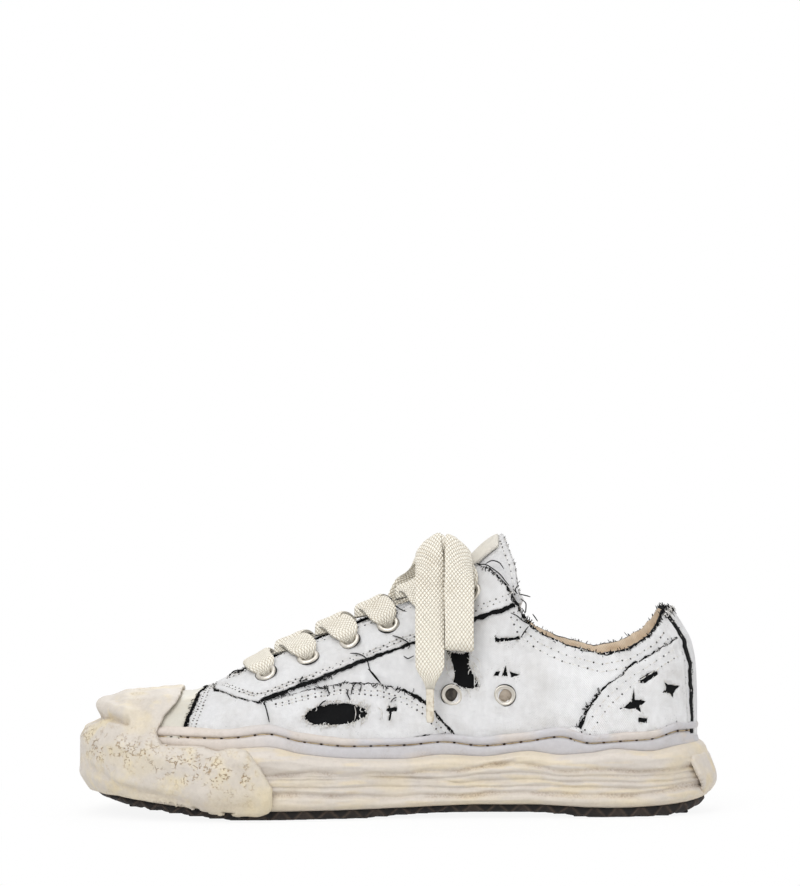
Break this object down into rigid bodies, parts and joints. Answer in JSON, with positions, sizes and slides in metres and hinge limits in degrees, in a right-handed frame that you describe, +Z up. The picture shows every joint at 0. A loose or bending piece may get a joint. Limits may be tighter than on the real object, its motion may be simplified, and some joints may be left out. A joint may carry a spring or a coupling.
{
  "type": "sneaker",
  "caption": "Worn low-top canvas sneaker for the right foot: thick ribbed rubber sole, lumpy moulded toe bumper, frayed and torn canvas panels, and flat laces tied in a bow.",
  "frame": {"origin": "on the floor, under the middle of the shoe without its free lace", "axes": "+X from toe to heel, +Y from the inner (medial) side to the outer (lateral) side, +Z up"},
  "size_m": [0.3094, 0.1248, 0.1345],
  "materials": {
    "midsole_rubber": "matt, yellowed and stained",
    "foxing_rubber": "satin, pale, with a stitched groove",
    "outsole_rubber": "matt, dusty",
    "white_canvas": "woven, frayed at its edges",
    "black_canvas": "woven",
    "lining": "smooth, matt",
    "lace": "flat woven tape",
    "eyelet": "worn nickel",
    "aglet": "clear film over the lace"
  },
  "bodies": {
    "root": {"outsole": "outsole_rubber", "midsole": "midsole_rubber", "foxing": "foxing_rubber", "toe_bumper": "midsole_rubber", "heel_plate": "midsole_rubber", "toe_cap": "foxing_rubber", "upper": "black_canvas", "eyestay": "white_canvas", "vamp": "white_canvas", "counter_medial": "white_canvas", "counter_lateral": "white_canvas", "back_strip": "white_canvas", "tongue": "white_canvas", "tongue_label": "white_canvas", "insole": "lining", "eyelet_medial_1": "eyelet", "eyelet_medial_2": "eyelet", "eyelet_medial_3": "eyelet", "eyelet_medial_4": "eyelet", "eyelet_medial_5": "eyelet", "eyelet_medial_6": "eyelet", "eyelet_lateral_1": "eyelet", "eyelet_lateral_2": "eyelet", "eyelet_lateral_3": "eyelet", "eyelet_lateral_4": "eyelet", "eyelet_lateral_5": "eyelet", "eyelet_lateral_6": "eyelet", "vent_1": "eyelet", "vent_2": "eyelet", "lace_bar_1": "lace", "lace_crossing_2": "lace", "lace_crossing_3": "lace", "lace_crossing_4": "lace", "lace_crossing_5": "lace", "lace_crossing_6": "lace", "lace_knot": "lace", "lace_loop_medial": "lace", "lace_end_medial": "lace", "aglet_medial": "aglet", "lace_loop_lateral": "lace", "lace_end_lateral": "lace", "aglet_lateral": "aglet"}
  },
  "joints": []
}
